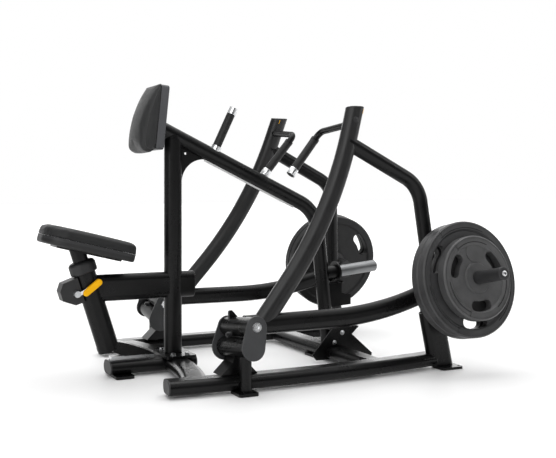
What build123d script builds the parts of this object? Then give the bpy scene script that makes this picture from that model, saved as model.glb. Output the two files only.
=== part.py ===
from build123d import *
import os
from math import asin, atan2, cos, degrees, hypot, radians, sin, tan

os.makedirs("parts", exist_ok=True)

# Plate-loaded seated row with a chest pad and two swinging arms, in millimetres.
# The user sits at the -X end and faces +X. Z is up and the floor is z = 0.
# The machine is symmetrical about y = 0; "right" is the user's right hand side, -Y.

# ---- driving dimensions -------------------------------------------------------------
wall = 3.0                    # wall of every steel tube
gap = 0.4                     # clearance between parts of different bodies
center_shift = -3.05          # moves the finished machine so that x = 0 is its middle

# arm pivots: each arm swings in its own plane, toed in by `splay` and leaned in by `lean`
pivot_x, pivot_y, pivot_z = -261.0, 525.3, 236.5
splay, lean = 2.3, 6.5
horn_lift = 4.8               # extra upward tilt of the weight horns

# base frame
rail_low, rail_high = 10.0, 60.0
rail_wide = 96.0
rail_tall = rail_high - rail_low
rail_mid = (rail_low + rail_high) / 2
cross_tall = rail_tall - 1.0
rail_front, rail_bow, rail_rear = -524.0, 24.0, 579.0
rail_front_y, rail_bow_y, rail_rear_y = 424.0, 447.0, 394.0
center_rail_front, center_rail_rear = -611.0, -275.0
center_rail_wide = 104.0
front_cross_x, front_cross_mid_x, front_cross_end_x = -353.0, -370.0, -434.0
rear_cross_x = 314.0
cap_thick = 5.0

# column, boom and rear leg, all in the plane y = 0
column_x, column_long, column_wide = -353.5, 70.0, 60.0
plate_thick = 10.0
base_x, base_long, base_wide = -347.0, 122.0, 172.0
boom_dia = 60.0
boom_front = (-436.0, 961.8)
boom_bend = (283.5, 617.5)
boom_foot = (343.0, rail_high)
boom_radius = 150.0
gusset_low, gusset_far = 740.0, -226.0

# rear pedestal and weight storage
pedestal_half = 120.0
storage_x, storage_z, storage_lift = 377.0, 356.0, 5.6
storage_r, storage_length = 24.0, 200.0

# seat support
beam_tall, beam_wide, beam_mid = 102.0, 50.0, 337.0
beam_rear = -274.0
sleeve_long, sleeve_wide = 82.0, 60.0
sleeve_lean = 17.5
sleeve_foot_x = -597.0
sleeve_low, sleeve_length = 41.0, 360.0
liner_length = 130.0
post_long, post_wide = 58.0, 38.0
post_low, post_high = 70.0, 500.0
lock_height = 294.0
seat_slope = 14.0
seat_long, seat_wide = 346.0, 224.0
shell_thick, seat_cushion = 30.0, 36.0
seat_x, seat_z = -706.0, 477.0

# chest pad
pad_wide, pad_tall = 180.0, 247.0
pad_back_x, pad_back_z = -421.0, 860.0
pad_lean = 5.8
pad_board = 32.0
mount_thick = 8.0

# assist handle on the boom
assist_x, assist_reach, assist_tip = -187.0, 214.0, 28.0

# pivot stands
tube_r = 34.5                 # arm hub and fixed crossbar
crossbar_u, crossbar_v = -15.2, -69.1
plate_out, plate_in = 55.0, -184.0
plate_w = 8.0
stand_x, stand_y = -265.0, 498.0
stand_r = 21.0
shaft_r = 12.0
rear_post_x, rear_post_y, rear_post_lean = 621.0, 415.0, 12.0
rear_post_long, rear_post_wide = 106.0, 50.0
rest_u, rest_drop = 836.0, 24.0

# arms, in the arm plane: u backwards, v up, n outwards, all from the pivot
arm_n = -80.7                 # the arm's tubes lie this far in from the pivot's datum
arm_long, arm_wide = 72.0, 57.0
arm_top, arm_knee, arm_root = (544.0, 807.0), (413.0, 392.0), (84.0, 0.0)
arm_bend_r = 1650.0
lower_root, lower_knee, lower_end = (20.0, 2.0), (650.0, 2.0), (900.0, 104.5)
lower_bend_r = 1365.0
hub_u, hub_v = 912.0, 103.7
rear_top, rear_knee, rear_end = (494.0, 670.5), (824.0, 500.3), (856.0, 110.0)
rear_dia, rear_bend_r = 58.0, 120.0
hub_r = 40.0
horn_r, horn_tip = 25.0, 361.0
clip_at = 222.0               # groove for the spring clip that holds the plates

# handles, in the same arm coordinates
handle_start = (512.0, 738.0, arm_n)
handle_bend = (518.0, 746.0, -307.0)
handle_end = (382.0, 578.0, -322.0)
bar_r, grip_r = 13.5, 17.0

# weight plates on the horns
big_r, small_r = 225.0, 163.0
big_t, small_t = 39.0, 43.0
plate_first = 95.2
plate_pitch = 40.0
bore_r = horn_r + 0.6

# ---- shared helpers -----------------------------------------------------------------
s, t = radians(splay), radians(lean)
ARM = Plane(
    origin=(pivot_x, -pivot_y, pivot_z),
    x_dir=(cos(s), sin(s), 0),
    z_dir=(sin(s) * cos(t), -cos(s) * cos(t), sin(t)),
)


def both(shape):
    """A right-hand piece and its mirror image."""
    return shape, mirror(shape, about=Plane.XZ)


def swept(path, long, wide, across):
    """Solid oval bar along a path; `across` is the direction of the oval's long axis."""
    start = Plane(origin=path @ 0, x_dir=across, z_dir=path % 0)
    outline = Circle(long / 2) if long == wide else SlotOverall(long, wide)
    return sweep(start * outline, path=path)


def tube(path, long, wide, across):
    """Hollow oval tube and the solid bar that it fills, for coping its neighbours."""
    bar = swept(path, long, wide, across)
    return bar - swept(path, long - 2 * wall, wide - 2 * wall, across), bar


def disc(plane, radius, low, high):
    """Cylinder on a plane between two heights."""
    return plane * Pos(0, 0, low) * extrude(Circle(radius), high - low)


def profile(points, half, y=0.0):
    """Prism from an outline in x and z, reaching `half` to each side of y."""
    face = Plane.XZ * make_face(Polyline(*points, close=True))
    return Pos(0, y, 0) * extrude(face, half, both=True)


def hex_bolt(x, y, z, size):
    """Washer and hexagon head standing on a level face."""
    washer = extrude(Circle(size), 2)
    head = Pos(0, 0, 2) * extrude(RegularPolygon(size * 0.85, 6), size * 0.7)
    return Pos(x, y, z) * (washer + head)


def side_bolt(x, z, y, size):
    """Washer and domed head on an upright face, pointing along -Y."""
    body = extrude(Circle(size), 2) + Pos(0, 0, 2) * Cone(size * 0.8, size * 0.5, size * 0.6,
                                                         align=(Align.CENTER, Align.CENTER, Align.MIN))
    return Plane(origin=(x, y, z), x_dir=(1, 0, 0), z_dir=(0, -1, 0)) * body


parts = {}

# ---- base frame ---------------------------------------------------------------------
rail_path = ThreePointArc(
    (rail_front, -rail_front_y, rail_mid),
    (rail_bow, -rail_bow_y, rail_mid),
    (rail_rear, -rail_rear_y, rail_mid),
)
right_rail, right_rail_bar = tube(rail_path, rail_wide, rail_tall, (0, 1, 0))
left_rail, left_rail_bar = (mirror(piece, about=Plane.XZ) for piece in (right_rail, right_rail_bar))
center_path = Line((center_rail_front, 0, rail_mid), (center_rail_rear, 0, rail_mid))
center_rail, center_bar = tube(center_path, center_rail_wide, rail_tall, (0, 1, 0))

front_path = ThreePointArc(
    (front_cross_x, -20, rail_mid),
    (front_cross_mid_x, -200, rail_mid),
    (front_cross_end_x, -rail_bow_y, rail_mid),
)
front_cross = tube(front_path, rail_wide, cross_tall, (1, 0, 0))[0]
front_cross = front_cross - center_bar - right_rail_bar
rear_path = Line((rear_cross_x, -rail_bow_y, rail_mid), (rear_cross_x, rail_bow_y, rail_mid))
rear_cross, rear_cross_bar = tube(rear_path, rail_wide, cross_tall, (1, 0, 0))
rear_cross = rear_cross - right_rail_bar - left_rail_bar


def longest(shape):
    """The largest solid of a cut shape, without the offcuts."""
    return max(shape.solids(), key=lambda solid: solid.volume)


def end_cap(path, at, long, wide, across, thick=cap_thick):
    """Rounded plug that closes a rail's end."""
    side = -1 if at == 0 else 1
    face = Plane(origin=path @ at, x_dir=across, z_dir=(path % at) * side)
    plug = extrude(SlotOverall(long, wide), thick)
    return face * fillet(plug.faces().sort_by(Axis.Z)[-1].edges(), thick * 0.6)


def floor_plate(x, y, long, wide, holes, hole_r=6.5):
    """Flat plate on the floor with rounded corners and bolt holes at (x, y) points."""
    plate = extrude(RectangleRounded(long, wide, 12), rail_low)
    for hx, hy in holes:
        plate -= Pos(hx - x, hy - y, 0) * extrude(Circle(hole_r), rail_low)
    return Pos(x, y, 0) * plate


parts["right_side_rail"] = right_rail
parts["left_side_rail"] = left_rail
parts["center_rail"] = center_rail
parts["cross_tubes"] = Compound([*both(longest(front_cross)), longest(rear_cross)])
side_caps = [end_cap(rail_path, at, rail_wide, rail_tall, (0, 1, 0)) for at in (0, 1)]
center_caps = [end_cap(center_path, at, center_rail_wide, rail_tall, (0, 1, 0)) for at in (0, 1)]
parts["rail_end_caps"] = Compound([*both(side_caps[0]), *both(side_caps[1]), *center_caps])

# floor plates: (x, y, long, wide, bolt holes); they carry the rails 10 mm off the floor
stand_plate_y = stand_y - 2
stand_holes = [(stand_x - 25, -stand_y - 30), (stand_x + 19, -stand_y - 30)]
rear_plate_x, rear_plate_y = rear_post_x + 19, rear_post_y + 21
rear_holes = [(rear_post_x + 14, -rear_plate_y - 24), (rear_post_x + 56, -rear_plate_y - 24)]
front_holes = [(center_rail_front + 30, -66), (center_rail_front + 30, 66)]
parts["floor_plates"] = Compound([
    *both(floor_plate(stand_x - 3, -stand_plate_y, 74, 92, stand_holes)),
    *both(floor_plate(rear_plate_x, -rear_plate_y, 100, 80, rear_holes)),
    floor_plate(center_rail_front + 44, 0, 72, 164, front_holes),
    floor_plate(rear_cross_x, 0, 96, 150, []),
])

# ---- column, boom and rear leg ------------------------------------------------------
plate_top = rail_high + plate_thick
boom_path = FilletPolyline(
    *[(x, 0, z) for x, z in (boom_front, boom_bend, boom_foot)], radius=boom_radius
)
boom, boom_bar = tube(boom_path, boom_dia, boom_dia, (0, 1, 0))
pad_l = radians(pad_lean)
PAD = Plane(
    origin=(pad_back_x, 0, pad_back_z), x_dir=(0, -1, 0), z_dir=(-cos(pad_l), 0, sin(pad_l))
)
pad_side = PAD * Pos(0, 0, -mount_thick) * Box(900, 900, 300, align=(Align.CENTER, Align.CENTER, Align.MIN))
under_leg = Pos(boom_foot[0], 0, rail_high) * Box(
    200, 200, 100, align=(Align.CENTER, Align.CENTER, Align.MAX)
)
boom -= pad_side + under_leg
boom_drop = (boom_front[1] - boom_bend[1]) / (boom_bend[0] - boom_front[0])


def boom_z(x):
    """Height of the boom's centre line above the floor on its straight front run."""
    return boom_front[1] - (x - boom_front[0]) * boom_drop


column_path = Line((column_x, 0, plate_top), (column_x, 0, boom_z(column_x)))
column, column_bar = tube(column_path, column_long, column_wide, (1, 0, 0))
base_plate = Pos(base_x, 0, rail_high) * extrude(RectangleRounded(base_long, base_wide, 10), plate_thick)
parts["column"] = longest(column - boom_bar) + base_plate
parts["boom"] = longest(boom)
base_bolts = [
    hex_bolt(base_x + dx, dy, plate_top, 11) for dx in (-29, 29) for dy in (-67, 67)
]

gusset_edge = column_x + column_long / 2
gusset_start = gusset_edge + gap / 2
lean_len = hypot(boom_drop, 1)
boom_under = boom_dia / 2 * lean_len + gap / 2
gusset_corner = (gusset_start, boom_z(gusset_start) - boom_under)
gusset_tip = (gusset_far, boom_z(gusset_far) - boom_under)
gusset_face = Plane.XZ * make_face([
    Line(gusset_corner, (gusset_start, gusset_low)),
    ThreePointArc((gusset_start, gusset_low), (gusset_edge + 29, 803), gusset_tip),
    Line(gusset_tip, gusset_corner),
])
gusset = extrude(gusset_face, 4, both=True)
gusset -= Plane(origin=(gusset_edge + 16, 10, 850), z_dir=(0, -1, 0)) * extrude(Circle(5), 20)
parts["boom_gusset"] = gusset

# ---- rear pedestal under the rear leg ----------------------------------------------
top_sheet = [(296, 126), (299, 134), (423, 138), (419, 130)]
rim_sheet = [(380, 103), (386, 110), (486, 22), (488, rail_low), (478, rail_low)]
sheet_half = 70.0
sheet_y = sheet_half + 2 - pedestal_half
pedestal = profile(top_sheet, sheet_half, sheet_y) + profile(rim_sheet, sheet_half, sheet_y)
front_strip = [(204, 32), (222, rail_low), (286, rail_low), (423, 138), (296, 134)]
rear_strip = [(330, 60), (384, 110), (488, 20), (476, rail_low), (360, rail_low)]
for strip in (front_strip, rear_strip):
    pedestal += profile(strip, 4, 4 - pedestal_half)
parts["rear_pedestal"] = longest(pedestal - boom_bar - rear_cross_bar)
pedestal_bolts = [
    side_bolt(x, z, -pedestal_half, 10) for x, z in ((342, 116), (305, 78))
]

# ---- weight storage on the rear leg ------------------------------------------------
STORE = Plane(
    origin=(storage_x, 0, storage_z), x_dir=(0, 1, 0),
    z_dir=(cos(radians(storage_lift)), 0, sin(radians(storage_lift))),
)
storage_bar = disc(STORE, storage_r, 8, storage_length - 4)
storage_end = disc(STORE, storage_r - 4, storage_length - 4, storage_length)
boss = disc(STORE, 30, -48, 0) - boom_bar
parts["storage_horn"] = storage_bar + storage_end
storage_hub = disc(STORE, 45, 0, 8 - gap) + longest(boss)
bracket_edge = [(335, 310), (397, 310), (397, 268), (442, 258), (442, 216), (340, 209)]
parts["storage_bracket"] = Compound([longest(profile(bracket_edge, 22) - boom_bar), storage_hub])

# ---- chest pad ----------------------------------------------------------------------
pad_mid = pad_tall / 2
mount = PAD * Pos(0, 84, -mount_thick) * extrude(RectangleRounded(110, 150, 12), mount_thick)
parts["chest_pad_mount"] = mount
shell = extrude(RectangleRounded(pad_wide, pad_tall, 14), pad_board)
shell = fillet(shell.faces().sort_by(Axis.Z)[0].edges(), 4)
parts["chest_pad_shell"] = PAD * Pos(0, pad_mid, 0) * shell
cushion_low, cushion_top = -pad_mid - 17, pad_mid + 4
wedge = Plane.YZ * make_face([
    Line((cushion_top - 6, 0), (4 - pad_mid, 0)),
    ThreePointArc((4 - pad_mid, 0), (cushion_low, 27), (6 - pad_mid, 59)),
    ThreePointArc((6 - pad_mid, 59), (40, 42), (cushion_top, 8)),
    Line((cushion_top, 8), (cushion_top - 6, 0)),
])
cushion = extrude(wedge, pad_wide / 2, both=True)
side_edges = [e for e in cushion.edges() if abs(e.center().X) > pad_mid / 2 and e.center().Z > 20]
cushion = fillet(side_edges, 15)
parts["chest_pad"] = PAD * Pos(0, pad_mid, pad_board + gap) * cushion

# ---- assist handle on top of the boom ----------------------------------------------
ASSIST = Plane(
    origin=(assist_x, 0, boom_z(assist_x)), x_dir=(0, 1, 0),
    z_dir=(boom_drop / lean_len, 0, 1 / lean_len),
)
grip_end = assist_reach - assist_tip
assist = disc(ASSIST, bar_r, 0, grip_end) + disc(ASSIST, 21, 0, 42)
assist += disc(ASSIST, grip_r + 1, grip_end, assist_reach)
parts["assist_handle_bar"] = longest(assist - boom_bar)
parts["assist_handle_grip"] = disc(ASSIST, grip_r, 42, grip_end) - disc(ASSIST, bar_r, 0, grip_end)

# ---- seat support -------------------------------------------------------------------
sl = radians(sleeve_lean)
SLEEVE = Plane(
    origin=(sleeve_foot_x, 0, rail_high), x_dir=(cos(sl), 0, sin(sl)), z_dir=(-sin(sl), 0, cos(sl))
)


def sleeve_block(long, wide, low, high):
    """Solid oval bar on the seat sleeve's axis."""
    return SLEEVE * Pos(0, 0, low) * extrude(SlotOverall(long, wide), high - low)


def lock_bore(radius, low, high):
    """Cylinder on the seat lock's axis, square to the sleeve, from its front to the post."""
    axis = SLEEVE * Plane(origin=(low, 0, lock_height), x_dir=(0, 1, 0), z_dir=(1, 0, 0))
    return axis * extrude(Circle(radius), high - low)


sleeve_bar = sleeve_block(sleeve_long, sleeve_wide, sleeve_low, sleeve_length)
hollow = sleeve_block(sleeve_long - 2 * wall, sleeve_wide - 2 * wall, sleeve_low, sleeve_length)
bore_out = lock_bore(8.6, -60, -post_long / 2 + 4)
parts["seat_sleeve"] = longest(sleeve_bar - hollow - bore_out)

pad_high = rail_high + 17
foot_top, foot_rear = (-586.0, 135.0), (-436.0, pad_high)
foot_face = Plane.XZ * make_face([
    Line((-600, 95), foot_top),
    ThreePointArc(foot_top, (-500, 107), foot_rear),
    Polyline(foot_rear, (-556, pad_high), (-600, 95)),
])
foot = extrude(foot_face, 27, both=True)
foot += Pos(-520, 0, rail_high) * extrude(Rectangle(170, 36), pad_high - rail_high)
parts["seat_sleeve_foot"] = longest(foot - sleeve_bar)

beam_path = Line((sleeve_foot_x - 87, 0, beam_mid), (beam_rear, 0, beam_mid))
beam = tube(beam_path, beam_tall, beam_wide, (0, 0, 1))[0]
beam -= sleeve_bar + column_bar
beam_cap = end_cap(beam_path, 1, beam_tall, beam_wide, (0, 0, 1))
parts["seat_beam"] = Compound(sorted(beam.solids(), key=lambda solid: -solid.volume)[:2] + [beam_cap])

liner_low = sleeve_length - liner_length
collar = sleeve_block(sleeve_long - 2 * wall - gap, sleeve_wide - 2 * wall - gap, liner_low, sleeve_length)
dome = extrude(SlotOverall(sleeve_long + 20, sleeve_wide + 20), 46)
dome = fillet(dome.faces().sort_by(Axis.Z)[-1].edges(), 16)
dome = fillet(dome.faces().sort_by(Axis.Z)[0].edges(), 4)
collar += SLEEVE * Pos(0, 0, sleeve_length - 6) * dome - sleeve_bar
collar -= sleeve_block(post_long + 2 * gap, post_wide + 2 * gap, liner_low - 5, sleeve_length + 60)
parts["seat_sleeve_collar"] = longest(collar - bore_out)

housing_half = 31.0
housing_face = Plane.XZ * make_face(Polyline(
    (-36, lock_height - 40), (-72, lock_height - 40), (-112, lock_height - 10),
    (-112, lock_height + 26), (-94, lock_height + 52), (-36, lock_height + 55), close=True,
))
housing = SLEEVE * extrude(housing_face, housing_half, both=True) - sleeve_bar
parts["lock_housing"] = longest(housing - lock_bore(8.4, -107, -36))
pin_nose = -post_long / 2 - gap
parts["seat_lock_pin"] = lock_bore(8.0, -96, pin_nose)

lever_x, lever_z = -740.0, 323.0
LEVER = Plane(origin=(lever_x, -housing_half, lever_z), x_dir=(1, 0, 0), z_dir=(0, -1, 0))
lever_r, rod_out, rod_thick = 6.0, 13.0, 5.0
lever_bolt = disc(LEVER, lever_r, 0, 20) + disc(LEVER, 11, 20, 25)
parts["frame_bolts"] = Compound(base_bolts + pedestal_bolts + [lever_bolt])
lever_eye = disc(LEVER, 12, gap, 19.5) - disc(LEVER, lever_r + gap, 0, 20)
rod_run = Line((9, 0, rod_out + rod_thick / 2), (74, 37, rod_out + rod_thick / 2))
rod_start = Plane(origin=rod_run @ 0, z_dir=rod_run % 0, x_dir=(0, 0, 1))
rod = sweep(rod_start * Rectangle(rod_thick, 12), path=rod_run)
rod_solid = lever_eye + LEVER * rod - disc(LEVER, lever_r + gap, 0, 20)
parts["seat_lever_rod"] = longest(rod_solid)
grip_plan = SlotCenterToCenter(60, 25, rotation=38)
lever_grip = LEVER * Pos(56, 22, 9) * extrude(grip_plan, 14)
lever_grip = fillet(lever_grip.edges().group_by(Axis.Y)[0], 4)
parts["seat_lever_grip"] = lever_grip - rod_solid

ss = radians(seat_slope)
SEAT = Plane(origin=(seat_x, 0, seat_z), x_dir=(cos(ss), 0, -sin(ss)), z_dir=(sin(ss), 0, cos(ss)))
seat_under = SEAT * Pos(0, 0, -7) * Box(600, 300, 300, align=(Align.CENTER, Align.CENTER, Align.MIN))
post_out = sleeve_block(post_long, post_wide, post_low, post_high + 80)
post_in = sleeve_block(post_long - 2 * wall, post_wide - 2 * wall, post_low - 5, post_high + 90)
parts["seat_post"] = longest(post_out - post_in - seat_under)
seat_plate = extrude(RectangleRounded(250, 130, 14), 7)
for px in (-105, 105):
    for py in (-48, 48):
        seat_plate -= Pos(px, py, 0) * extrude(Circle(4.5), 7)
parts["seat_plate"] = SEAT * Pos(10, 0, -7) * seat_plate


def seat_outline(grow=0.0):
    """Seat plan: broad round corners at the back (-x), tight ones at the front."""
    half_x, half_y = seat_long / 2 + grow, seat_wide / 2 + grow
    plan = Rectangle(2 * half_x, 2 * half_y)
    plan = fillet(plan.vertices().group_by(Axis.X)[0], 84)
    return fillet(plan.vertices().group_by(Axis.X)[-1], 30)


seat_shell = extrude(seat_outline(), shell_thick)
seat_shell = fillet(seat_shell.faces().sort_by(Axis.Z)[0].edges(), 9)
parts["seat_shell"] = SEAT * seat_shell
seat_pad = extrude(seat_outline(), seat_cushion)
seat_pad = fillet(seat_pad.faces().sort_by(Axis.Z)[-1].edges(), 10)
parts["seat_pad"] = SEAT * Pos(0, 0, shell_thick + gap) * seat_pad

# ---- pivot stands, one under each arm ----------------------------------------------


def stadium(top_r, low_r):
    """Outline around the pivot above and the crossbar below."""
    circles = [Circle(top_r), Pos(crossbar_u, crossbar_v) * Circle(low_r)]
    return make_face(make_hull([edge for circle in circles for edge in circle.edges()]))


def pivot_plate(low, rounded, low_r):
    """End plate of a pivot stand, bored for the shaft, with its `rounded` end's edge eased."""
    plate = extrude(stadium(38, low_r), plate_w)
    plate = fillet(plate.edges().group_by(Axis.Z)[rounded], 2)
    return ARM * Pos(0, 0, low) * (plate - extrude(Circle(shaft_r + 0.05), plate_w))


bar_low, bar_high = plate_in + plate_w, plate_out - plate_w
crossbar_at = Pos(crossbar_u, crossbar_v, 0)
crossbar_bar = ARM * crossbar_at * disc(Plane.XY, tube_r, bar_low, bar_high)
crossbar = crossbar_bar - ARM * crossbar_at * disc(Plane.XY, tube_r - 5, bar_low, bar_high)
parts["stand_crossbars"] = Compound([*both(crossbar)])
parts["pivot_plates"] = Compound([
    *both(pivot_plate(bar_high, -1, 43.5)), *both(pivot_plate(plate_in, 0, 50)),
])
shaft = disc(ARM, shaft_r, plate_in, plate_out)
head = Cone(17, 14, 7, align=(Align.CENTER, Align.CENTER, Align.MIN)) - Pos(0, 0, 2) * extrude(
    RegularPolygon(6, 6), 8
)
shaft += ARM * Pos(0, 0, plate_out) * head
shaft += ARM * Pos(0, 0, plate_in - 9) * extrude(RegularPolygon(17, 6), 9)
parts["pivot_shafts"] = Compound([*both(shaft)])

stand_bar = Pos(stand_x, -stand_y, rail_low) * extrude(Circle(stand_r), 160)
stand_in = Pos(stand_x, -stand_y, rail_low) * extrude(Circle(stand_r - wall), 160)
above_bar = ARM * Pos(0, crossbar_v, 0) * Box(
    600, 300, 900, align=(Align.CENTER, Align.MIN, Align.CENTER)
)
stand = stand_bar - stand_in - above_bar - crossbar_bar - right_rail_bar
parts["stand_posts"] = Compound([*both(longest(stand))])

saddle_y, saddle_half = -413.0, 38.0
saddle_edge = [(-337, rail_high), (-293, 103), (-284, 128), (-246, 128), (-237, 103), (-198, rail_high)]
saddle_core = [(-327, rail_high - 5), (-286, 98), (-277, 140), (-253, 140), (-244, 98), (-208, rail_high - 5)]
saddle = profile(saddle_edge, saddle_half, saddle_y) - profile(saddle_core, saddle_half - 4, saddle_y)
saddle = saddle - crossbar_bar - right_rail_bar - stand_bar - above_bar
parts["stand_gussets"] = Compound([*both(longest(saddle))])

KNOB = Plane(origin=(-38, -24, -74), z_dir=(-1, 0, 0))
knob = ARM * (disc(KNOB, 10, 0, 16) + disc(KNOB, 5, 16, 20)) - crossbar_bar
parts["stop_knobs"] = Compound([*both(longest(knob))])

# ---- rear posts that the arms rest on ----------------------------------------------
REAR = Location((rear_post_x, -rear_post_y, rail_low), (0, -rear_post_lean, 0))
rear_bar = REAR * Pos(0, 0, -60) * extrude(SlotOverall(rear_post_long, rear_post_wide), 420)
rear_in = REAR * Pos(0, 0, -60) * extrude(
    SlotOverall(rear_post_long - 2 * wall, rear_post_wide - 2 * wall), 420
)
lower_turn = atan2(lower_end[1] - lower_knee[1], lower_end[0] - lower_knee[0])
lower_bend_u = lower_knee[0] - lower_bend_r * tan(lower_turn / 2)
rest_turn = asin((rest_u - lower_bend_u) / lower_bend_r)
rest_v = lower_knee[1] + lower_bend_r * (1 - cos(rest_turn))
rest_low = arm_long / 2 + gap
REST = Plane(
    origin=(rest_u + rest_low * sin(rest_turn), rest_v - rest_low * cos(rest_turn), arm_n),
    x_dir=(0, 0, 1), z_dir=(-sin(rest_turn), cos(rest_turn), 0),
)
cap_low = rest_drop + 6
above_cap = ARM * (REST * Pos(0, 0, -cap_low) * Box(
    400, 400, 400, align=(Align.CENTER, Align.CENTER, Align.MIN)
))
under_floor = Pos(rear_post_x, -rear_post_y, rail_low) * Box(
    500, 500, 300, align=(Align.CENTER, Align.CENTER, Align.MAX)
)
rear_post = rear_bar - rear_in - above_cap - under_floor - right_rail_bar - side_caps[1]
post_cap = ARM * (REST * Pos(0, 0, -cap_low) * extrude(RectangleRounded(54, 110, 12), 6))
parts["rear_posts"] = Compound([*both(longest(rear_post) + post_cap)])
bumper = ARM * (REST * Pos(0, 0, -rest_drop) * Cone(
    26, 20, rest_drop, align=(Align.CENTER, Align.CENTER, Align.MIN)
))
parts["arm_rest_bumpers"] = Compound([*both(bumper)])

# ---- the arms -----------------------------------------------------------------------


def arm_path(points, radius):
    """Bent centre line in the plane of the arm's tubes."""
    return FilletPolyline(*[(u, v, arm_n) for u, v in points], radius=radius)


def square_to(path):
    """Direction in the arm plane at right angles to the start of a path."""
    along = path % 0
    return Vector(-along.Y, along.X, 0)


top_way = (Vector(*arm_top) - Vector(*arm_knee)).normalized()
above_top = Vector(*arm_top) + top_way * 40
main_path = arm_path([(above_top.X, above_top.Y), arm_knee, arm_root], arm_bend_r)
lower_path = arm_path([lower_root, lower_knee, lower_end], lower_bend_r)
back_path = arm_path([rear_top, rear_knee, rear_end], rear_bend_r)

main_tube, main_bar = tube(main_path, arm_long, arm_wide, square_to(main_path))
lower_tube, lower_bar = tube(lower_path, arm_long, arm_wide, square_to(lower_path))
back_tube = tube(back_path, rear_dia, rear_dia, square_to(back_path))[0]
hub_bar = disc(Plane.XY, tube_r, bar_low + 0.5, bar_high - 0.5)
in_horn = Location((hub_u, hub_v, arm_n), (-horn_lift, 0, 0))
collar_half = 34.0
collar_bar = in_horn * disc(Plane.XY, hub_r, -collar_half, collar_half)
cap_v = arm_top[1] - 6
cap_room = Pos(arm_top[0], cap_v, arm_n) * Box(300, 6, 200, align=(Align.CENTER, Align.MIN, Align.CENTER))
over_cap = Pos(arm_top[0], cap_v, arm_n) * Box(300, 200, 200, align=(Align.CENTER, Align.MIN, Align.CENTER))
top_cap = longest(main_bar & cap_room)
top_cap = fillet(top_cap.edges().group_by(Axis.Y)[-1], 3)
main_tube = main_tube - over_cap - lower_bar
lower_tube = lower_tube - hub_bar - collar_bar
back_tube = back_tube - main_bar - lower_bar - collar_bar
fin_plan = make_hull([
    edge for u, v, r in ((-13, 50, 8), (-9, 22, 13), (7, 22, 11)) for edge in (Pos(u, v) * Circle(r)).edges()
])
hub = hub_bar + Pos(0, 0, -128) * extrude(make_face(fin_plan), 12)
hub -= disc(Plane.XY, shaft_r + 0.06, plate_in, plate_out)

handle_path = FilletPolyline(handle_start, handle_bend, handle_end, radius=30)
handle_first = Plane(origin=handle_path @ 0, z_dir=handle_path % 0)
handle_bar = sweep(handle_first * Circle(bar_r), path=handle_path)
grip_way = (Vector(*handle_end) - Vector(*handle_bend)).normalized()
GRIP = Plane(origin=handle_end, z_dir=grip_way)
grip_long, ferrule = 168.0, 12.0
handle_bar += disc(GRIP, grip_r + 1, 0, 9) + disc(GRIP, grip_r + 0.8, -grip_long - ferrule, -grip_long)
handle_bar -= main_bar
handle_grip = disc(GRIP, grip_r, -grip_long, 0) - disc(GRIP, bar_r, -grip_long, 0)

horn = disc(Plane.XY, hub_r, -collar_half, collar_half)
horn += disc(Plane.XY, horn_r, collar_half, horn_tip - 6)
horn += disc(Plane.XY, 52, plate_first - 10, plate_first - gap)
clip_groove = Circle(horn_r + 1) - Circle(horn_r - 1)
horn -= Pos(0, 0, clip_at) * extrude(clip_groove, 3)
tip = Pos(0, 0, horn_tip - 6) * extrude(Circle(horn_r), 6)
horn += fillet(tip.faces().sort_by(Axis.Z)[-1].edges(), 3) + disc(Plane.XY, 9, horn_tip, horn_tip + 5)

arm_pieces = {
    "hub": hub,
    "main_tube": longest(main_tube),
    "top_cap": top_cap,
    "rear_tube": longest(back_tube),
    "lower_tube": longest(lower_tube),
    "handle_bar": longest(handle_bar),
    "handle_grip": handle_grip,
    "weight_horn": in_horn * horn,
}

# ---- weight plates ------------------------------------------------------------------


def weight_plate(radius, thick, slot_at, slot_long, slot_wide, first_slot):
    """Rubber plate with a raised rim and hub, three grip slots, notches and a ring groove."""
    rim_in, hub_out, dish, edge = radius - 30, 60.0, 7.0, 5.0
    section = Plane.XZ * make_face(Polyline(
        (bore_r, 1), (bore_r, thick - 1), (hub_out - 4, thick - 1), (hub_out, thick - dish),
        (rim_in - 8, thick - dish), (rim_in, thick), (radius - edge, thick),
        (radius, thick - edge), (radius, edge), (radius - edge, 0), (rim_in, 0),
        (rim_in - 8, dish), (hub_out, dish), (hub_out - 4, 1), close=True,
    ))
    body = revolve(section, Axis.Z)
    half_angle = degrees((slot_long - slot_wide) / 2 / slot_at)
    for k in range(3):
        middle = first_slot + 120 * k
        arc = CenterArc((0, 0), slot_at, middle - half_angle, 2 * half_angle)
        body -= extrude(SlotArc(arc, slot_wide), thick)
        body -= Rot(0, 0, middle - 26) * Pos(radius - 15, 0, thick) * Box(40, 3, 4)
    groove = Circle(radius - 9) - Circle(radius - 11)
    return body - Pos(0, 0, thick - 1.5) * extrude(groove, 3)


big_plate = weight_plate(big_r, big_t, 168.0, 118.0, 44.0, 30.0)
small_plate = weight_plate(small_r, small_t, 108.0, 96.0, 40.0, 32.0)
small_plate += Pos(0, 98, small_t - 7) * extrude(Circle(38), 1.5)
stack = [("inner_plate", big_plate), ("outer_plate", big_plate), ("small_plate", small_plate)]

for name, piece in arm_pieces.items():
    parts[f"right_{name}"], parts[f"left_{name}"] = both(ARM * piece)
HORN = ARM.location * in_horn
for order, (name, piece) in enumerate(stack):
    placed = HORN * Pos(0, 0, plate_first + order * plate_pitch) * piece
    parts[f"right_{name}"], parts[f"left_{name}"] = both(placed)

for name, piece in parts.items():
    export_step(Pos(center_shift, 0, 0) * piece, f"parts/{name}.step")
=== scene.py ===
import math

import bmesh
import bpy
import numpy as np
from mathutils import Matrix, Vector
from mathutils.bvhtree import BVHTree


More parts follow.
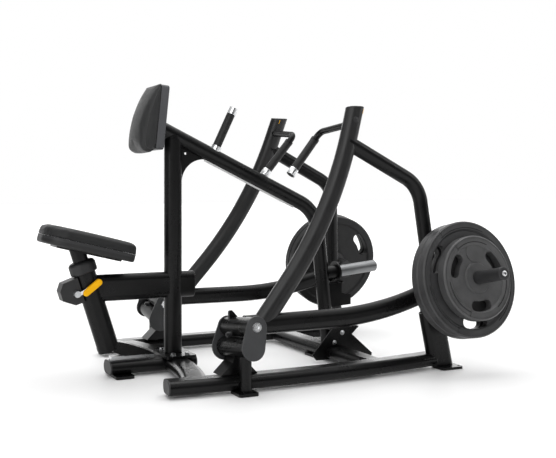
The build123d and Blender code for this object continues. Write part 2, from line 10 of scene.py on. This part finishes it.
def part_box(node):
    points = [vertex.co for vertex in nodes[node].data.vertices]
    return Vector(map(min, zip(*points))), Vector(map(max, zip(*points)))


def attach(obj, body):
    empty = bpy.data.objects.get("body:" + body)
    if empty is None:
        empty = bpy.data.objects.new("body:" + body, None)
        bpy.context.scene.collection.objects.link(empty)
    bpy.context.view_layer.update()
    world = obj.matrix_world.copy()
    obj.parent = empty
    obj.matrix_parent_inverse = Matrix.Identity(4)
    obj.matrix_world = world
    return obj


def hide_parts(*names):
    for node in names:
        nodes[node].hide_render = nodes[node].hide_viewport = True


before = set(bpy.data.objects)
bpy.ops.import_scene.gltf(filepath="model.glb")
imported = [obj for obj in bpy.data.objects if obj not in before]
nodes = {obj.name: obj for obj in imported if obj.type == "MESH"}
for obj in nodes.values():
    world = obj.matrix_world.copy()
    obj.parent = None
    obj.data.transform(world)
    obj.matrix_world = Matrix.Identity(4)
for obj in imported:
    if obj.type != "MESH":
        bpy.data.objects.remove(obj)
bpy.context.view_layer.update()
scene = bpy.context.scene


# ---- materials ----------------------------------------------------------------------
def new_tree(name):
    """A material with a Principled shader, and short ways to add nodes and links to it."""
    mat = bpy.data.materials.new(name)
    mat.use_nodes = True
    tree = mat.node_tree
    return mat, tree, tree.nodes["Principled BSDF"]


def noise_tex(tree, scale, detail=4.0, rough=0.5, stretch=None):
    """Noise in the piece's own coordinates, in metres."""
    coords = tree.nodes.new("ShaderNodeTexCoord")
    out = coords.outputs["Object"]
    if stretch:
        mapping = tree.nodes.new("ShaderNodeMapping")
        mapping.inputs["Scale"].default_value = stretch
        tree.links.new(out, mapping.inputs["Vector"])
        out = mapping.outputs["Vector"]
    tex = tree.nodes.new("ShaderNodeTexNoise")
    tex.inputs["Scale"].default_value = scale
    tex.inputs["Detail"].default_value = detail
    tex.inputs["Roughness"].default_value = rough
    tree.links.new(out, tex.inputs["Vector"])
    return tex


def vary_colour(tree, shader, low, high, scale, detail=4.0, stretch=None):
    """The colour drifts between two close tones."""
    tex = noise_tex(tree, scale, detail, 0.6, stretch)
    ramp = tree.nodes.new("ShaderNodeValToRGB")
    ramp.color_ramp.elements[0].position = 0.32
    ramp.color_ramp.elements[1].position = 0.68
    ramp.color_ramp.elements[0].color = (*low, 1)
    ramp.color_ramp.elements[1].color = (*high, 1)
    tree.links.new(tex.outputs["Fac"], ramp.inputs["Fac"])
    tree.links.new(ramp.outputs["Color"], shader.inputs["Base Color"])


def vary_rough(tree, shader, low, high, scale, stretch=None):
    tex = noise_tex(tree, scale, 5.0, 0.6, stretch)
    span = tree.nodes.new("ShaderNodeMapRange")
    span.inputs["From Min"].default_value = 0.3
    span.inputs["From Max"].default_value = 0.7
    span.inputs["To Min"].default_value = low
    span.inputs["To Max"].default_value = high
    tree.links.new(tex.outputs["Fac"], span.inputs["Value"])
    tree.links.new(span.outputs["Result"], shader.inputs["Roughness"])


def bump(tree, shader, height_out, strength, distance, below=None):
    node = tree.nodes.new("ShaderNodeBump")
    node.inputs["Strength"].default_value = strength
    node.inputs["Distance"].default_value = distance
    tree.links.new(height_out, node.inputs["Height"])
    if below:
        tree.links.new(below.outputs["Normal"], node.inputs["Normal"])
    tree.links.new(node.outputs["Normal"], shader.inputs["Normal"])
    return node


def tone(value, share):
    return tuple(c * share for c in value)


def paint(name, colour, rough, specular=0.5, grain=0.25):
    """Powder coat: a fine orange peel, faint dust and handling marks."""
    mat, tree, shader = new_tree(name)
    vary_colour(tree, shader, tone(colour, 0.86), tone(colour, 1.16), 9)
    vary_rough(tree, shader, rough - 0.05, rough + 0.06, 14)
    shader.inputs["Specular IOR Level"].default_value = specular
    peel = noise_tex(tree, 900, 2.0, 0.5)
    slow = noise_tex(tree, 120, 2.0, 0.5)
    first = bump(tree, shader, slow.outputs["Fac"], grain * 0.4, 0.0006)
    bump(tree, shader, peel.outputs["Fac"], grain, 0.0002, first)
    return mat


def rubber(name, colour, rough, pits=0.3, scale=700, specular=0.35):
    """Moulded rubber: matte, with a fine sandy grain."""
    mat, tree, shader = new_tree(name)
    vary_colour(tree, shader, tone(colour, 0.82), tone(colour, 1.2), 16, 6)
    vary_rough(tree, shader, rough - 0.07, rough + 0.07, 30)
    shader.inputs["Specular IOR Level"].default_value = specular
    sand = noise_tex(tree, scale, 3.0, 0.6)
    bump(tree, shader, sand.outputs["Fac"], pits, 0.0004)
    return mat


def vinyl(name, colour, rough, specular=0.35, sheen=0.06):
    """Upholstery vinyl: pebbled cells with soft creases."""
    mat, tree, shader = new_tree(name)
    vary_colour(tree, shader, tone(colour, 0.84), tone(colour, 1.18), 11, 5)
    vary_rough(tree, shader, rough - 0.05, rough + 0.08, 22)
    shader.inputs["Specular IOR Level"].default_value = specular
    shader.inputs["Sheen Weight"].default_value = sheen
    shader.inputs["Sheen Roughness"].default_value = 0.5
    coords = tree.nodes.new("ShaderNodeTexCoord")
    cells = tree.nodes.new("ShaderNodeTexVoronoi")
    cells.feature = "DISTANCE_TO_EDGE"
    cells.inputs["Scale"].default_value = 620
    tree.links.new(coords.outputs["Object"], cells.inputs["Vector"])
    edge = tree.nodes.new("ShaderNodeMapRange")
    edge.inputs["From Max"].default_value = 0.22
    tree.links.new(cells.outputs["Distance"], edge.inputs["Value"])
    soft = noise_tex(tree, 60, 3.0, 0.55)
    first = bump(tree, shader, soft.outputs["Fac"], 0.16, 0.002)
    bump(tree, shader, edge.outputs["Result"], 0.3, 0.0003, first)
    return mat


def metal(name, colour, rough, brushed=None):
    """Bright plated or turned steel, lightly streaked."""
    mat, tree, shader = new_tree(name)
    shader.inputs["Metallic"].default_value = 1.0
    vary_colour(tree, shader, tone(colour, 0.9), tone(colour, 1.05), 25)
    vary_rough(tree, shader, rough * 0.8, rough * 1.25, 60, brushed)
    streak = noise_tex(tree, 400, 2.0, 0.5, brushed)
    bump(tree, shader, streak.outputs["Fac"], 0.08, 0.0002)
    return mat


def plastic(name, colour, rough, grain=0.2, coat=0.0):
    mat, tree, shader = new_tree(name)
    vary_colour(tree, shader, tone(colour, 0.92), tone(colour, 1.06), 20)
    vary_rough(tree, shader, rough - 0.04, rough + 0.05, 40)
    shader.inputs["Coat Weight"].default_value = coat
    shader.inputs["Coat Roughness"].default_value = 0.12
    fine = noise_tex(tree, 800, 2.0, 0.5)
    bump(tree, shader, fine.outputs["Fac"], grain, 0.0002)
    return mat


def split_by_plane(mat, normal, offset, colour, metallic=None):
    """Gives the part of a piece on the near side of a plane, in its own metres, another colour."""
    tree = mat.node_tree
    shader = tree.nodes["Principled BSDF"]
    coords = tree.nodes.new("ShaderNodeTexCoord")
    along = tree.nodes.new("ShaderNodeVectorMath")
    along.operation = "DOT_PRODUCT"
    along.inputs[1].default_value = normal
    tree.links.new(coords.outputs["Object"], along.inputs[0])
    side = tree.nodes.new("ShaderNodeMath")
    side.operation = "LESS_THAN"
    side.inputs[1].default_value = offset
    tree.links.new(along.outputs["Value"], side.inputs[0])
    mix = tree.nodes.new("ShaderNodeMix")
    mix.data_type = "RGBA"
    mix.inputs["B"].default_value = (*colour, 1)
    tree.links.new(side.outputs["Value"], mix.inputs["Factor"])
    tree.links.new(shader.inputs["Base Color"].links[0].from_socket, mix.inputs["A"])
    tree.links.new(mix.outputs["Result"], shader.inputs["Base Color"])
    if metallic:
        tree.links.new(side.outputs["Value"], shader.inputs["Metallic"])
    return mat


BLACK = paint("black powder coat", (0.0036, 0.0036, 0.0038), 0.29, 0.24)
# painted highlight: the arms' main tubes get a lighter, glossier copy of the black powder coat, for the
# broad highlight they catch
ARM_BLACK_LIT = paint("arm powder coat", (0.0085, 0.0085, 0.0088), 0.40, 0.5)
# painted shade: the far arm's plates get a darker copy of the plate rubber, for the shade they sit in
FAR_PLATE_SHADED = rubber("far plate rubber with painted shade", (0.012, 0.012, 0.0125), 0.5, 0.25, 700, 0.35)
SMALL_PLATE = rubber("small plate rubber", (0.062, 0.062, 0.063), 0.44, 0.25, 700, 0.5)
GREY = paint("grey pivot plate", (0.040, 0.041, 0.043), 0.42, 0.45)
CAP = plastic("rail cap plastic", (0.022, 0.022, 0.023), 0.5)
DARK = plastic("dark plastic", (0.014, 0.014, 0.015), 0.48)
PLATE = rubber("weight plate rubber", (0.040, 0.040, 0.041), 0.46, 0.25, 700, 0.45)
GRIP = rubber("grip rubber", (0.010, 0.010, 0.010), 0.5, 0.5, 520)
BUMPER = rubber("bumper rubber", (0.009, 0.009, 0.009), 0.6)
HORN_GREY = paint("horn sleeve", (0.022, 0.022, 0.023), 0.45)
STORE_STEEL = metal("storage horn steel", (0.26, 0.265, 0.27), 0.42, (1, 8, 8))
CHROME = metal("bright plating", (0.86, 0.87, 0.88), 0.27)
ZINC = metal("zinc plating", (0.62, 0.63, 0.64), 0.3)
YELLOW = plastic("yellow lever", (1.0, 0.50, 0.001), 0.45, 0.12)
YELLOW.node_tree.nodes["Principled BSDF"].inputs["Specular IOR Level"].default_value = 0.2
STRIP = plastic("light strip", (0.62, 0.62, 0.62), 0.4)
# painted shade for the steps inside the plates' rims
PAINTED_GROOVE_SHADE = rubber("groove shade", (0.004, 0.004, 0.004), 0.7)
SEAT_VINYL = vinyl("seat vinyl", (0.0080, 0.0082, 0.0086), 0.55)
CHEST_VINYL = vinyl("chest vinyl", (0.017, 0.0175, 0.018), 0.52)
# painted highlight: the seam welt is a lighter, glossier vinyl for the highlight along the cushion's edge
WELT_HIGHLIGHT = vinyl("welt vinyl with painted highlight", (0.030, 0.0305, 0.0315), 0.42)
SHELL = plastic("moulded pad shell", (0.060, 0.061, 0.066), 0.52, 0.3)

spacer_top = 0.0768   # height where the light spacer under the sleeve ends
shell_lip = 0.011     # depth of the seat shell's lighter upper band
FOOT = split_by_plane(
    paint("sleeve foot paint", (0.0042, 0.0042, 0.0044), 0.3, 0.34), (0, 0, 1), spacer_top,
    (0.72, 0.73, 0.74), True,
)
seat_tilt = math.radians(14)
seat_normal = Vector((math.sin(seat_tilt), 0, math.cos(seat_tilt)))
seat_along = Vector((math.cos(seat_tilt), 0, -math.sin(seat_tilt)))
shell_points = np.array([v.co for v in nodes["seat_shell"].data.vertices], float) @ np.array(seat_normal)
SEAT_SHELL = split_by_plane(
    plastic("seat shell", (0.019, 0.0195, 0.021), 0.5, 0.3), tuple(seat_normal),
    shell_points.max() - shell_lip,
    (0.008, 0.008, 0.0085),
)

by_slot = {
    "cushion": SEAT_VINYL, "pad_shell": SHELL, "weight_rubber": PLATE, "grip_rubber": GRIP,
    "lever_yellow": YELLOW, "bumper_rubber": BUMPER, "dark_plastic": DARK, "grey_paint": GREY,
    "horn_steel": HORN_GREY, "bright_steel": CHROME, "black_paint": BLACK,
}
by_node = {"rail_end_caps": CAP, "storage_horn": STORE_STEEL, "stop_knobs": DARK, "frame_bolts": ZINC,
           "seat_sleeve_foot": FOOT, "seat_shell": SEAT_SHELL, "right_small_plate": SMALL_PLATE,
           "right_main_tube": ARM_BLACK_LIT, "left_main_tube": ARM_BLACK_LIT, "left_inner_plate": FAR_PLATE_SHADED,
           "left_outer_plate": FAR_PLATE_SHADED, "left_small_plate": FAR_PLATE_SHADED}
for name, obj in nodes.items():
    for held in obj.material_slots:
        was = held.material.name.split(".")[0] if held.material else "black_paint"
        held.material = by_node.get(name) or by_slot.get(was, BLACK)


# ---- helpers for modelled pieces ------------------------------------------------------
def local_frame(origin, x_dir, z_dir):
    """Matrix from a piece's own axes to the row frame."""
    z = Vector(z_dir).normalized()
    x = Vector(x_dir).normalized()
    y = z.cross(x)
    return Matrix.Translation(origin) @ Matrix((x, y, z)).transposed().to_4x4()


def link_mesh(name, mesh, mat, body):
    obj = bpy.data.objects.new(name, mesh)
    scene.collection.objects.link(obj)
    obj.data.materials.clear()
    obj.data.materials.append(mat)
    for face in obj.data.polygons:
        face.use_smooth = True
    if body:
        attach(obj, body)
    return obj


def baked(obj):
    """The object's mesh with its modifiers applied."""
    graph = bpy.context.evaluated_depsgraph_get()
    mesh = bpy.data.meshes.new_from_object(obj.evaluated_get(graph))
    return mesh


def with_modifier(obj, kind, **values):
    """Applies one modifier for good."""
    mod = obj.modifiers.new(kind.lower(), kind)
    for key, value in values.items():
        setattr(mod, key, value)
    mesh = baked(obj)
    obj.modifiers.clear()
    obj.data = mesh


def points_of(mesh):
    co = np.empty(len(mesh.vertices) * 3)
    mesh.vertices.foreach_get("co", co)
    return co.reshape(-1, 3)


def set_points(mesh, co):
    mesh.vertices.foreach_set("co", np.asarray(co, float).ravel())
    mesh.update()


def remeshed(node, name, voxel=0.005):
    """A closed copy of a CAD solid in even voxels, with its points welded."""
    bm = bmesh.new()
    bm.from_mesh(nodes[node].data)
    bmesh.ops.remove_doubles(bm, verts=bm.verts, dist=1e-6)
    mesh = bpy.data.meshes.new(name)
    bm.to_mesh(mesh)
    bm.free()
    obj = bpy.data.objects.new(name, mesh)
    scene.collection.objects.link(obj)
    with_modifier(obj, "REMESH", mode="VOXEL", voxel_size=voxel)
    return obj


def swell(obj, glued, cap, pressure=4.0):
    """Blows the cover up by cloth pressure; no point moves further than the cap."""
    start = points_of(obj.data)
    group = obj.vertex_groups.new(name="glued")
    group.add([int(i) for i in np.nonzero(glued)[0]], 1.0, "REPLACE")
    mod = obj.modifiers.new("cloth", "CLOTH")
    cloth = mod.settings
    cloth.quality = 6
    cloth.mass = 0.3
    cloth.use_pressure = True
    cloth.uniform_pressure_force = pressure
    cloth.effector_weights.gravity = 0
    cloth.vertex_group_mass = "glued"
    mod.point_cache.frame_start = 1
    mod.point_cache.frame_end = 20
    for step in range(1, 21):
        scene.frame_set(step)
    now = points_of(baked(obj))
    obj.modifiers.clear()
    obj.vertex_groups.clear()
    scene.frame_set(1)
    move = now - start
    far = np.linalg.norm(move, axis=1, keepdims=True)
    move *= np.minimum(1, cap / np.maximum(far, 1e-9))
    set_points(obj.data, start + move)


def relax(obj, rounds, keep=None):
    bm = bmesh.new()
    bm.from_mesh(obj.data)
    verts = [v for v in bm.verts if keep is None or not keep[v.index]]
    for _ in range(rounds):
        bmesh.ops.smooth_vert(
            bm, verts=verts, factor=0.5, use_axis_x=True, use_axis_y=True, use_axis_z=True
        )
    bm.to_mesh(obj.data)
    bm.free()


def dome(co, plan, high, ramp_at, edge_round, crown):
    """Rounds the face of a cushion over its edges and crowns it.

    co are points in the cushion's own axes, with its back at z = 0; plan is its half size,
    high(y) its height, ramp_at the share of the height where the rounding starts."""
    tall = high(co[:, 1])
    share = np.clip(co[:, 2] / tall, 0, 1)
    t = np.clip((share - ramp_at) / (1 - ramp_at), 0, 1)
    inward = edge_round * (1 - np.sqrt(np.clip(1 - t**2, 0, 1)))
    out = co.copy()
    out[:, 0] *= 1 - inward / plan[0]
    out[:, 1] *= 1 - inward / plan[1]
    bow = (1 - (out[:, 0] / plan[0]) ** 2) * (1 - (out[:, 1] / plan[1]) ** 2)
    out[:, 2] += crown * np.clip(bow, 0, 1) * t
    return out


def tube_along(name, points, radius, mat, body, cyclic=False):
    """A thin round bead on a smooth line of points."""
    data = bpy.data.curves.new(name, "CURVE")
    data.dimensions = "3D"
    data.bevel_depth = radius
    data.bevel_resolution = 3
    data.use_fill_caps = True
    line = data.splines.new("POLY")
    line.points.add(len(points) - 1)
    for held, p in zip(line.points, points):
        held.co = (*p, 1)
    line.use_cyclic_u = cyclic
    obj = bpy.data.objects.new(name, data)
    scene.collection.objects.link(obj)
    mesh = baked(obj)
    bpy.data.objects.remove(obj)
    return link_mesh(name, mesh, mat, body)


# ---- cushions ---------------------------------------------------------------------------
def to_local(frame_m, co):
    inv = np.array(frame_m.inverted())
    return co @ inv[:3, :3].T + inv[:3, 3]


def to_row(frame_m, co):
    m = np.array(frame_m)
    return co @ m[:3, :3].T + m[:3, 3]


def cushion(node, name, frame_m, plan, high, ramp_at, edge_round, crown, cap, mat, body):
    """A crowned closed cushion in place of its CAD solid."""
    obj = remeshed(node, name + "_form")
    co = to_local(frame_m, points_of(obj.data))
    flat = co[:, 2] < 0.006
    co[:, :2] *= 1.003
    co = dome(co, plan, high, ramp_at, edge_round, crown)
    set_points(obj.data, to_row(frame_m, co))
    relax(obj, 2, flat)
    swell(obj, flat, cap)
    relax(obj, 2, flat)
    with_modifier(obj, "SUBSURF", levels=1, render_levels=1)
    mesh = obj.data
    bpy.data.objects.remove(obj)
    made = link_mesh(name, mesh, mat, body)
    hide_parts(node)
    return made


def fitted_frame(node, x_dir, z_dir):
    """A frame at the middle of a node's back face, along the node's own tilted axes, and its half sizes."""
    x, z = Vector(x_dir), Vector(z_dir)
    y = z.cross(x)
    co = np.array([v.co for v in nodes[node].data.vertices], float)
    spans = [co @ np.array(axis) for axis in (x, y, z)]
    mid = [(v.min() + v.max()) / 2 for v in spans]
    origin = x * mid[0] + y * mid[1] + z * spans[2].min()
    return local_frame(origin, x, z), [(v.max() - v.min()) / 2 for v in spans]


SEAT, seat_half = fitted_frame("seat_pad", seat_along, seat_normal)
cushion(
    "seat_pad", "seat_cushion", SEAT, seat_half, lambda y: np.full_like(y, 2 * seat_half[2]),
    0.5, 0.002, 0.003, 0.004, SEAT_VINYL, "seat",
)

pad_lean = math.radians(5.8)
pad_normal = Vector((-math.cos(pad_lean), 0, math.sin(pad_lean)))
CHEST, pad_half = fitted_frame("chest_pad", (0, -1, 0), pad_normal)


def chest_height(y):
    """Height of the chest cushion's face over its back, thick at the foot and thin at the top."""
    return np.interp(y, [-0.134, -0.111, 0.0465, 0.134], [0.030, 0.059, 0.042, 0.008])


chest_cushion = cushion(
    "chest_pad", "chest_cushion", CHEST, pad_half, chest_height,
    0.3, 0.002, 0.005, 0.004, CHEST_VINYL, "frame",
)


def on_cover(cover, frame_m, side, points):
    """Points of a seam drawn in y and z on a cushion's side, laid on its cover."""
    tree = bmesh.new()
    tree.from_mesh(cover.data)
    hull = BVHTree.FromBMesh(tree)
    tree.free()
    inverse = frame_m.to_3x3()
    found = []
    for y, z in points:
        start = frame_m @ Vector((side * 0.3, y, z))
        hit = hull.ray_cast(start, inverse @ Vector((-side, 0, 0)))[0]
        if hit is not None:
            found.append(hit)
    return found


def rounded_line(points, steps=10):
    """A smooth line through points."""
    p = np.array(points, float)
    p = np.vstack([2 * p[0] - p[1], p, 2 * p[-1] - p[-2]])
    line = []
    for k in range(1, len(p) - 2):
        for t in np.linspace(0, 1, steps, endpoint=False):
            line.append(0.5 * (
                2 * p[k] + (p[k + 1] - p[k - 1]) * t
                + (2 * p[k - 1] - 5 * p[k] + 4 * p[k + 1] - p[k + 2]) * t**2
                + (3 * p[k] - p[k - 1] - 3 * p[k + 1] + p[k + 2]) * t**3
            ))
    line.append(p[-2])
    return line


# the side seam runs from the top beside the face, and turns to the back at the foot; its raised welt is
# real, its lighter tone a painted highlight
seam = rounded_line([
    (0.118, 0.003), (0.110, 0.009), (0.090, 0.016), (0.060, 0.0245), (0.020, 0.0335), (-0.020, 0.0395),
    (-0.060, 0.043), (-0.090, 0.044), (-0.108, 0.041), (-0.117, 0.033), (-0.119, 0.023), (-0.116, 0.012),
    (-0.113, 0.004),
])
for side, word in ((1, "right"), (-1, "left")):
    tube_along(
        "chest_seam_" + word, on_cover(chest_cushion, CHEST, side, seam), 0.0015,
        WELT_HIGHLIGHT, "frame",
    )

# ---- small modelled pieces ---------------------------------------------------------------
def lathe(name, profile, frame_m, mat, body, turns=64):
    """A turned piece: profile points are (radius, height) along the frame's z."""
    bm = bmesh.new()
    rings = []
    for r, h in profile:
        if r < 1e-7:
            rings.append([bm.verts.new(frame_m @ Vector((0, 0, h)))])
            continue
        angles = [2 * math.pi * k / turns for k in range(turns)]
        rings.append([bm.verts.new(frame_m @ Vector((r * math.cos(a), r * math.sin(a), h))) for a in angles])
    for low, high in zip(rings, rings[1:]):
        for k in range(turns):
            n = (k + 1) % turns
            if len(low) == 1:
                bm.faces.new((low[0], high[n], high[k]))
            elif len(high) == 1:
                bm.faces.new((low[k], low[n], high[0]))
            else:
                bm.faces.new((low[k], low[n], high[n], high[k]))
    bmesh.ops.recalc_face_normals(bm, faces=bm.faces)
    mesh = bpy.data.meshes.new(name)
    bm.to_mesh(mesh)
    bm.free()
    return link_mesh(name, mesh, mat, body)


def end_frame(node, way):
    """Frame on the end face of a round node, looking along way."""
    d = Vector(way).normalized()
    co = np.array([v.co for v in nodes[node].data.vertices], float)
    reach = co @ np.array(d)
    face = co[reach > reach.max() - 0.0004]
    side = d.orthogonal().normalized()
    return local_frame(Vector((face.min(0) + face.max(0)) / 2), side, d)


def mirrored(v, word):
    return Vector((v[0], v[1] if word == "right" else -v[1], v[2]))


arm_out = (0.03987, -0.99277, 0.11320)
arm_up = (-0.00454, 0.11311, 0.99357)
arm_back = (0.99919, 0.04013, 0.0)
pivot = (-0.26405, -0.5253, 0.2365)
grip_way = (-0.62660, -0.04419, -0.77813)
horn_way = (0.03935, -0.97983, 0.19595)
horn_up = (-0.00786, 0.19579, 0.98061)


def on_arm(u, v, n, word):
    """Point of the row from the right arm's own axes, or its mirror image."""
    p = Vector(pivot) + Vector(arm_back) * u + Vector(arm_up) * v + Vector(arm_out) * n
    return mirrored(p, word)


def surface(node):
    bm = bmesh.new()
    bm.from_mesh(nodes[node].data)
    tree = BVHTree.FromBMesh(bm)
    bm.free()
    return tree


for word in ("right", "left"):
    arm = word + "_arm"
    # bright ferrule with a black end plug on each hand grip
    END = end_frame(f"{word}_handle_bar", mirrored(grip_way, word))
    lathe(
        f"{word}_grip_ferrule",
        [(0.0172, -0.030), (0.0183, -0.0295), (0.0186, -0.0285), (0.0186, -0.001),
         (0.0180, 0.0004), (0.0150, 0.0006), (0.0148, 0.0002), (0.0, 0.0002)],
        END, CHROME, arm,
    )
    lathe(
        f"{word}_grip_plug", [(0.0147, 0.0002), (0.0142, 0.0016), (0.0110, 0.0021), (0.0, 0.0021)],
        END, DARK, arm,
    )
    # bright centre bolt at the free end of the weight horn
    TIP = end_frame(f"{word}_weight_horn", mirrored(horn_way, word))
    lathe(
        f"{word}_horn_bolt",
        [(0.0102, -0.0052), (0.0104, -0.0010), (0.0096, 0.0002),
         (0.0052, 0.0005), (0.0046, -0.0004), (0.0042, -0.0030)],
        TIP, CHROME, arm,
    )
    # plug in the outer face of the arm, below its top
    tube_hull = surface(f"{word}_main_tube")
    start = on_arm(0.527, 0.752, 0.15, word)
    hit, normal = tube_hull.ray_cast(start, -mirrored(arm_out, word))[:2]
    if hit:
        FACE = local_frame(hit, normal.orthogonal().normalized(), normal)
        lathe(
            f"{word}_arm_plug",
            [(0.0122, -0.002), (0.0120, 0.0005), (0.0108, 0.0013),
             (0.0092, 0.0010), (0.0084, 0.0014), (0.0, 0.0020)],
            FACE, DARK, arm,
        )

# a short yellow mark at the top of each arm
for word, way in (("right", (0.88, -0.47, 0.0)), ("left", (-0.25, -0.97, 0.0))):
    tube_hull = surface(f"{word}_main_tube")
    low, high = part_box(f"{word}_main_tube")
    line = []
    for k in range(9):
        z = high.z - 0.004 - 0.0024 * k
        middle = on_arm(0.5425 - 0.0008 * k, 0.800 - 0.0024 * k, -0.0807, word)
        toward = -Vector(way)
        hit = tube_hull.ray_cast(Vector((middle.x, middle.y, z)) + Vector(way) * 0.15, toward)[0]
        if hit:
            line.append(hit)
    if len(line) > 2:
        tube_along(f"{word}_top_mark", line, 0.0012, YELLOW, f"{word}_arm")

# painted shade: dark beads laid along the step inside each plate's rim
for word in ("right", "left"):
    for node, radius, body in (
        (f"{word}_outer_plate", 0.2005, f"{word}_outer_plate_body"),
        (f"{word}_small_plate", 0.1385, f"{word}_small_plate_body"),
    ):
        d, up = mirrored(horn_way, word), mirrored(horn_up, word)
        co = np.array([v.co for v in nodes[node].data.vertices], float)
        reach = (co @ np.array(d)).max()
        low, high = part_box(node)
        centre = (low + high) / 2
        centre += d * (reach - centre.dot(d))
        side = up.cross(d) if word == "right" else d.cross(up)
        for k in range(3):
            arc = []
            for a in np.radians(np.linspace(64 + 120 * k, 126 + 120 * k, 40)):
                arc.append(centre + (side * math.cos(a) + up * math.sin(a)) * radius + d * 0.0001)
            tube_along(f"{node}_rim_painted_shade_{k + 1}", arc, 0.0014, PAINTED_GROOVE_SHADE, body)

# light strip under the boom
boom_hull = surface("boom")
strip = bmesh.new()
rows = []
for k in range(41):
    x = -0.222 + 0.395 * k / 40
    row = []
    for y in (-0.009, -0.007, 0.007, 0.009):
        hit = boom_hull.ray_cast(Vector((x, y, 0.3)), Vector((0, 0, 1)))[0]
        drop = 0.0052 if abs(y) < 0.008 else 0.0012
        row.append(strip.verts.new(hit + Vector((-0.43 * drop, 0, -0.9 * drop))))
    rows.append(row)
for low, high in zip(rows, rows[1:]):
    for k in range(3):
        strip.faces.new((low[k], high[k], high[k + 1], low[k + 1]))
for row in (rows[0], rows[-1]):
    strip.faces.new(row)
bmesh.ops.recalc_face_normals(strip, faces=strip.faces)
strip_mesh = bpy.data.meshes.new("boom_strip")
strip.to_mesh(strip_mesh)
strip.free()
link_mesh("boom_strip", strip_mesh, STRIP, "frame")

# ---- floor, lights, camera ----------------------------------------------------------
bpy.ops.mesh.primitive_plane_add(size=60, location=(0, 0, -0.0005))
floor = bpy.context.object
floor.name = "studio_floor"
floor_mat, floor_tree, floor_shader = new_tree("studio floor")
floor_shader.inputs["Base Color"].default_value = (0.86, 0.86, 0.86, 1)
floor_shader.inputs["Roughness"].default_value = 0.55
floor_shader.inputs["Specular IOR Level"].default_value = 0.25
place = floor_tree.nodes.new("ShaderNodeTexCoord")
away = floor_tree.nodes.new("ShaderNodeVectorMath")
away.operation = "LENGTH"
floor_tree.links.new(place.outputs["Object"], away.inputs[0])
glow = floor_tree.nodes.new("ShaderNodeMapRange")
glow.interpolation_type = "SMOOTHSTEP"
for key, value in (("From Min", 1.1), ("From Max", 4.5), ("To Min", 0.04), ("To Max", 0.5)):
    glow.inputs[key].default_value = value
floor_tree.links.new(away.outputs["Value"], glow.inputs["Value"])
floor_shader.inputs["Emission Color"].default_value = (1, 1, 1, 1)
floor_tree.links.new(glow.outputs["Result"], floor_shader.inputs["Emission Strength"])
floor.data.materials.append(floor_mat)


def soft_box(name, at, aim, size, watts):
    data = bpy.data.lights.new(name, "AREA")
    data.shape = "RECTANGLE"
    data.size, data.size_y = size
    data.energy = watts
    lamp = bpy.data.objects.new(name, data)
    scene.collection.objects.link(lamp)
    lamp.location = at
    lamp.rotation_euler = (Vector(aim) - Vector(at)).to_track_quat("-Z", "Y").to_euler()
    return lamp


soft_box("overhead", (0.2, 0.6, 4.2), (0.1, 0.1, 0), (4.6, 3.6), 105)
soft_box("key", (-2.4, -4.6, 3.4), (0, 0, 0.5), (3.6, 2.6), 70)
soft_box("front_left", (-3.4, -2.4, 1.9), (-0.2, 0, 0.5), (0.7, 2.4), 22)
soft_box("rim_right", (3.4, -1.6, 2.2), (0.3, 0, 0.5), (0.6, 2.4), 20)

world = bpy.data.worlds.new("studio")
scene.world = world
world.use_nodes = True
wt = world.node_tree
room = wt.nodes["Background"]
coords = wt.nodes.new("ShaderNodeTexCoord")
split = wt.nodes.new("ShaderNodeSeparateXYZ")
wt.links.new(coords.outputs["Generated"], split.inputs["Vector"])


def smooth_span(source, low, high, to_low, to_high):
    span = wt.nodes.new("ShaderNodeMapRange")
    span.interpolation_type = "SMOOTHSTEP"
    for key, value in (("From Min", low), ("From Max", high), ("To Min", to_low), ("To Max", to_high)):
        span.inputs[key].default_value = value
    wt.links.new(source, span.inputs["Value"])
    return span.outputs["Result"]


def joined(operation, first, second):
    node = wt.nodes.new("ShaderNodeMath")
    node.operation = operation
    wt.links.new(first, node.inputs[0])
    wt.links.new(second, node.inputs[1])
    return node.outputs["Value"]


# a dim room, a bright ceiling, and a lit backdrop behind the machine
facing = wt.nodes.new("ShaderNodeVectorMath")
facing.operation = "DOT_PRODUCT"
facing.inputs[1].default_value = (0.44, 0.90, 0)
wt.links.new(coords.outputs["Generated"], facing.inputs[0])
ceiling = smooth_span(split.outputs["Z"], 0.25, 0.9, 0.035, 0.9)
behind = joined(
    "MULTIPLY",
    smooth_span(facing.outputs["Value"], 0.55, 0.95, 0.0, 2.6),
    smooth_span(split.outputs["Z"], 0.2, 0.55, 1.0, 0.0),
)
wt.links.new(joined("ADD", ceiling, behind), room.inputs["Strength"])
room.inputs["Color"].default_value = (1, 1, 1, 1)
white = wt.nodes.new("ShaderNodeBackground")
white.inputs["Color"].default_value = (1, 1, 1, 1)
path = wt.nodes.new("ShaderNodeLightPath")
blend = wt.nodes.new("ShaderNodeMixShader")
wt.links.new(path.outputs["Is Camera Ray"], blend.inputs["Fac"])
wt.links.new(room.outputs["Background"], blend.inputs[1])
wt.links.new(white.outputs["Background"], blend.inputs[2])
wt.links.new(blend.outputs["Shader"], wt.nodes["World Output"].inputs["Surface"])
scene.view_settings.view_transform = "Standard"

view_heading = math.radians(26.21)
cam_data = bpy.data.cameras.new("camera")
cam = bpy.data.objects.new("camera", cam_data)
scene.collection.objects.link(cam)
cam.location = (-1.55185, -3.3604, 0.7244)
cam.rotation_euler = (math.radians(90), 0, -view_heading)
cam_data.lens = 58.55
cam_data.sensor_width = 36
cam_data.shift_y = -0.0784
cam_data.dof.use_dof = False
scene.camera = cam
